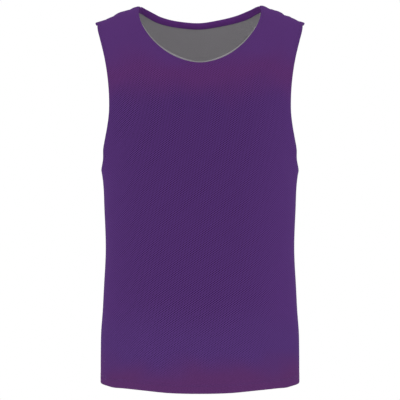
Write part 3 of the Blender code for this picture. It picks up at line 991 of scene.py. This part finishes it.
def stitch_tree():
    """Lines in, and a short fat loop of thread at each stitch out."""
    tree, given, made = group_of(
        "stitches",
        "GeometryNodeTree",
        [
            ("Lines", "NodeSocketGeometry", None),
            ("Pitch", "NodeSocketFloat", 0.0032),
            ("Length", "NodeSocketFloat", 0.0027),
            ("Thread", "NodeSocketFloat", 0.0004),
            ("Material", "NodeSocketMaterial", None),
        ],
        [("Stitches", "NodeSocketGeometry")],
    )
    nodes = tree.nodes
    curves = nodes.new("GeometryNodeMeshToCurve")
    spots = nodes.new("GeometryNodeCurveToPoints")
    spots.mode = "LENGTH"
    along = nodes.new("FunctionNodeAlignRotationToVector")
    along.axis = "Z"
    size = nodes.new("ShaderNodeCombineXYZ")
    loop = nodes.new("GeometryNodeMeshUVSphere")
    for label, value in (("Segments", 6), ("Rings", 4), ("Radius", 0.5)):
        loop.inputs[label].default_value = value
    copies = nodes.new("GeometryNodeInstanceOnPoints")
    soft = nodes.new("GeometryNodeSetShadeSmooth")
    real = nodes.new("GeometryNodeRealizeInstances")
    coloured = nodes.new("GeometryNodeSetMaterial")
    for start, end in (
        (given["Lines"], curves.inputs["Mesh"]),
        (curves.outputs["Curve"], spots.inputs["Curve"]),
        (given["Pitch"], spots.inputs["Length"]),
        (spots.outputs["Tangent"], along.inputs["Vector"]),
        (given["Thread"], size.inputs["X"]),
        (given["Thread"], size.inputs["Y"]),
        (given["Length"], size.inputs["Z"]),
        (spots.outputs["Points"], copies.inputs["Points"]),
        (loop.outputs["Mesh"], copies.inputs["Instance"]),
        (along.outputs["Rotation"], copies.inputs["Rotation"]),
        (size.outputs["Vector"], copies.inputs["Scale"]),
        (copies.outputs["Instances"], soft.inputs["Geometry"]),
        (soft.outputs["Geometry"], real.inputs["Geometry"]),
        (real.outputs["Geometry"], coloured.inputs["Geometry"]),
        (given["Material"], coloured.inputs["Material"]),
        (coloured.outputs["Geometry"], made["Stitches"]),
    ):
        tree.links.new(start, end)
    return tree


stitch_nodes = stitch_tree()


def stitches(name, lines, material):
    """The stitches along lines, as one plain mesh."""
    mesh = bpy.data.meshes.new(name)
    starts = np.cumsum([0] + [len(line) for line in lines])
    pairs = [(start + i, start + i + 1) for start, line in zip(starts, lines) for i in range(len(line) - 1)]
    mesh.from_pydata(np.concatenate(lines).tolist(), pairs, [])
    piece = bpy.data.objects.new(name, mesh)
    bpy.context.scene.collection.objects.link(piece)
    modifier = piece.modifiers.new("stitches", "NODES")
    modifier.node_group = stitch_nodes
    for socket in stitch_nodes.interface.items_tree:
        if socket.name == "Material":
            modifier[socket.identifier] = material
    made = bpy.data.meshes.new_from_object(piece.evaluated_get(bpy.context.evaluated_depsgraph_get()))
    piece.modifiers.remove(modifier)
    piece.data = made
    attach(piece, "root")
    return piece


# The shares of red, green and blue that each change of painted light adds.
PURPLE_PAINTED_LIGHT = {
    "Warmer": (0.315, 0.034, -0.014),
    "Bluer": (-0.118, 0.094, 0.104),
    "Brighter": (0.04, 0.125, 0.072),
    "Redder": (0.22, -0.11, -0.217),
}
PURPLE = (0.0549, 0.0203, 0.1066, 1)
PURPLE_SHEEN = (0.55, 0.22, 1.0, 1)
# How much darker the holes are painted: painted shade between the layers, seen through them.
PURPLE_HOLE_SHADE = 1.18
purple_knit = mesh_knit("purple_mesh_knit", PURPLE, PURPLE_HOLE_SHADE, PURPLE_SHEEN, **PURPLE_PAINTED_LIGHT)
purple_thread = thread("purple_thread", (0.078, 0.026, 0.150, 1))

front_outer, lines = panel("front", "outer", FRONT_FOLDS)
front_outer.data.materials.append(purple_knit)
front_outer_stitches = stitches("front_outer_stitches", lines, purple_thread)
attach(front_outer, "root")
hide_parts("front_outer")

# ---------------------------------------------------------------- back, outer layer
# The panel that faces backwards on the purple side: the same mesh, one piece cut on the fold, with a shallow
# neckline. It is sewn and turned as the front is. Its colour is painted lighter towards the shoulders, as
# painted light from above, without the front's painted warm stripe.
BACK_PAINTED_LIGHT = {**PURPLE_PAINTED_LIGHT, "Warmer": (0.099, 0.064, 0.045), "Bluer": (0.098, 0.064, 0.045)}
purple_back_knit = mesh_knit("purple_back_mesh_knit", PURPLE, PURPLE_HOLE_SHADE, PURPLE_SHEEN, **BACK_PAINTED_LIGHT)
back_outer, lines = panel("back", "outer", BACK_FOLDS)
back_outer.data.materials.append(purple_back_knit)
back_outer_stitches = stitches("back_outer_stitches", lines, purple_thread)
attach(back_outer, "root")
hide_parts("back_outer")

# ---------------------------------------------------------------- front, reverse layer
# The grey front panel, inside the purple one: the same mesh knit, dyed grey. It shares its seams, and it is
# bagged out with the purple panel at the neck and the armholes. Its hem is its own.
GREY = (0.2590, 0.2490, 0.2640, 1)
GREY_SHEEN = (0.95, 0.93, 1.0, 1)
# How much darker the holes are painted: painted shade between the layers, seen through them.
GREY_HOLE_SHADE = 0.27
grey_knit = mesh_knit("grey_mesh_knit", GREY, GREY_HOLE_SHADE, GREY_SHEEN)
grey_thread = thread("grey_thread", (0.320, 0.308, 0.325, 1))
front_reverse, lines = panel("front", "reverse", FRONT_FOLDS)
front_reverse.data.materials.append(grey_knit)
front_reverse_stitches = stitches("front_reverse_stitches", lines, grey_thread)
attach(front_reverse, "root")
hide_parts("front_reverse")

# ---------------------------------------------------------------- back, reverse layer
# The grey back panel, the one whose inside shows through the neck: the same grey mesh knit, cut as the purple
# back is. The two are bagged out together at the neck and the armholes, and each has its own hem.
back_reverse, lines = panel("back", "reverse", BACK_FOLDS)
back_reverse.data.materials.append(grey_knit)
back_reverse_stitches = stitches("back_reverse_stitches", lines, grey_thread)
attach(back_reverse, "root")
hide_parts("back_reverse")

# ---------------------------------------------------------------- back neck tape
# A strip of close purple knit, folded into a soft roll, that covers the seam inside the back neck from one
# shoulder to the other. It is sewn down along both of its long edges.
TAPE_WIDTH = 0.0141
TAPE_WIDER = 0.16  # the share by which it is wider at its ends
TAPE_END = 0.0006  # how far behind the shoulder seams it ends
TAPE_ABOVE = 0.0014  # how far it stands above the neckline
TAPE_BENEATH = 0.00035  # from the grey face to its underside
TAPE_EDGE = 0.0009  # from the grey face to its face, at its edges
TAPE_ROLL = 0.0017  # how much further its middle stands out
TAPE_ROWS = 19
TAPE_HALF_COLUMNS = 56
TAPE_PURPLE = (0.121, 0.0283, 0.208, 1)
half_x, half_z = neckline("back", np.linspace(0, 1, TAPE_HALF_COLUMNS))
edge = point_on("back", np.concatenate([-half_x[:0:-1], half_x]), np.concatenate([half_z[:0:-1], half_z]))
edge[[0, -1], 1] = TAPE_END
edge = settled(edge)
down = np.cross(np.gradient(edge, axis=0), normal_of(edge))
down *= -np.sign(down[len(down) // 2, 2]) / np.linalg.norm(down, axis=1, keepdims=True)
share = np.linspace(0, 1, TAPE_ROWS)[:, None, None]
wider = 1 + TAPE_WIDER * (edge[:, :1] / SEAM_START) ** 2
on_form = settled(edge + down * (share * TAPE_WIDTH * wider - TAPE_ABOVE))
on_form[..., 1] = np.maximum(on_form[..., 1], TAPE_END)
inward = -normal_of(on_form)
crown = np.sin(share * math.pi) ** 0.6
beneath = on_form + inward * (REVERSE_INSET + TAPE_BENEATH)
above = on_form + inward * (REVERSE_INSET + TAPE_EDGE + TAPE_ROLL * crown)
beneath, above = (sat_askew(points, share[..., 0] * TAPE_WIDTH) for points in (beneath, above))
flat = np.stack(np.broadcast_arrays(travelled(edge), TAPE_WIDTH * share[..., 0]), axis=-1)
doubled, bulge = np.ones(above.shape[:2]), np.full(above.shape[:2], RIM_BULGE)
neck_tape = shell("back_neck_tape_cloth", above, beneath, flat, doubled, bulge)


def tape_knit(name, colour):
    """A close, plain knit without holes, in fine slanting ribs."""
    material, nodes, shader = new_material(name)
    flat = flat_map(nodes)
    tone = placed(nodes, tone_and_painted_light, Flat=flat, Colour=colour)
    feed(shader.inputs["Base Color"], tone["Colour"])
    ribs = nodes.new("ShaderNodeTexWave")
    ribs.bands_direction = "DIAGONAL"
    ribs.inputs["Scale"].default_value = 420
    ribs.inputs["Distortion"].default_value = 0.4
    feed(ribs.inputs["Vector"], flat)
    feed(shader.inputs["Normal"], bumped(nodes, ribs.outputs["Fac"], 0.3, 0.0002))
    rough = math_of(nodes, "MULTIPLY", tone["Unevenness"], 1.5)
    rough = math_of(nodes, "ADD", rough, 0.66, clamp=True)
    feed(shader.inputs["Roughness"], rough)
    shader.inputs["Specular IOR Level"].default_value = 0.12
    shader.inputs["Sheen Weight"].default_value = 0.05
    shader.inputs["Sheen Tint"].default_value = (0.75, 0.45, 1.0, 1)
    return material


neck_tape.data.materials.append(tape_knit("purple_tape_knit", TAPE_PURPLE))
tape_seams = [above[row, 4:-4] for row in (2, -3)]
neck_tape_stitches = stitches("back_neck_tape_stitches", tape_seams, purple_thread)
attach(neck_tape, "root")
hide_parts("back_neck_tape")
